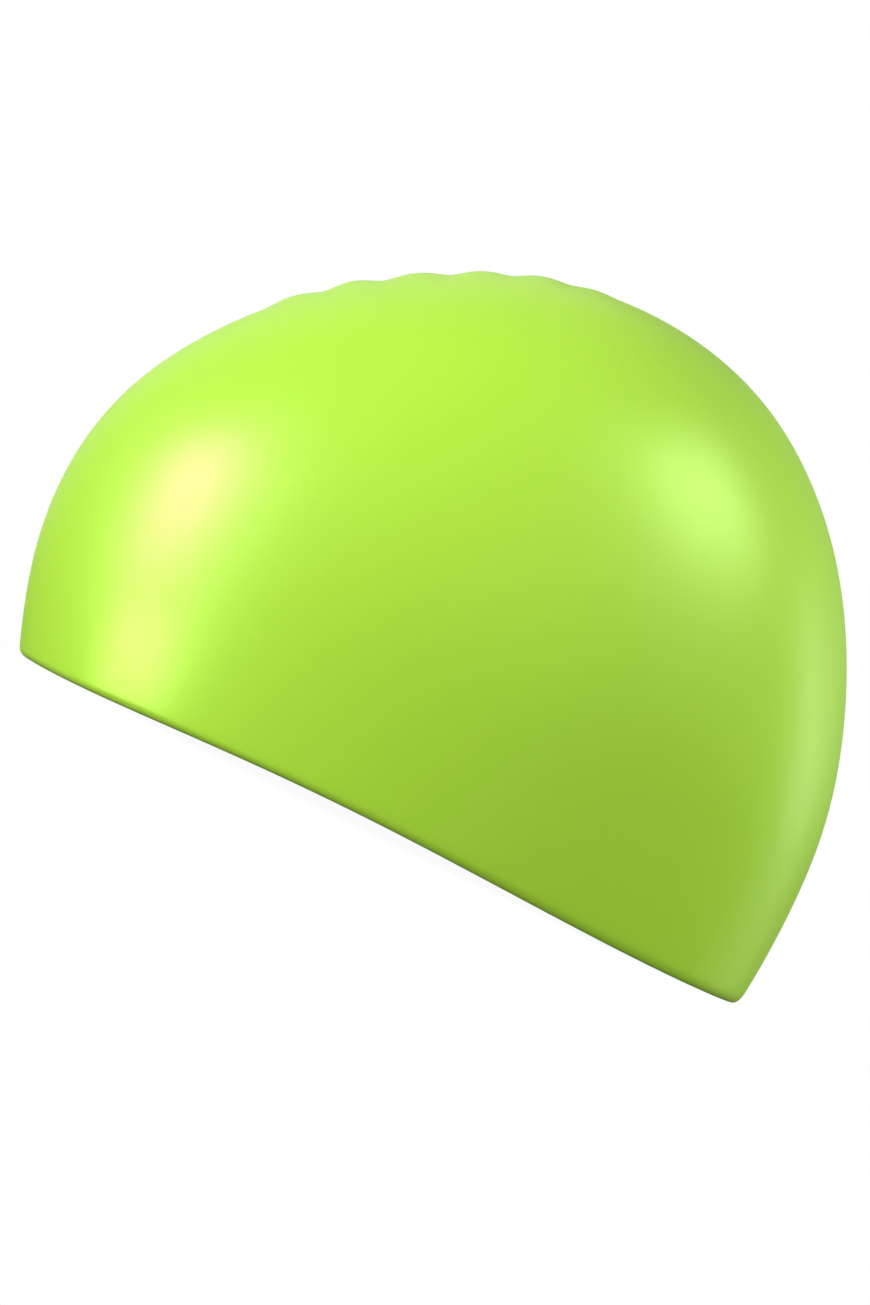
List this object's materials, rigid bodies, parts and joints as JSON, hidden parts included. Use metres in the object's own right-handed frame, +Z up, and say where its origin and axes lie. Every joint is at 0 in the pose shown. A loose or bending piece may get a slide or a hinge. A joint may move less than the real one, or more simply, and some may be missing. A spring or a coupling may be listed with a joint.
{
  "type": "moulded silicone swim cap",
  "caption": "One-piece moulded silicone swim cap: a hollow dome with a rounded hem along its open rim and soft folds across the crown.",
  "frame": {"origin": "under the middle of the cap's box, on the surface that the rim stands on", "axes": "+Z up out of the rim's plane to the crown, -Y towards the forehead and +Y towards the nape, +X towards the wearer's left ear"},
  "size_m": [0.156, 0.2024, 0.1397],
  "materials": {
    "lime_silicone": "smooth satin moulded silicone, lime green right through, with soft broad highlights"
  },
  "bodies": {
    "root": {"cap": "lime_silicone"}
  },
  "joints": []
}
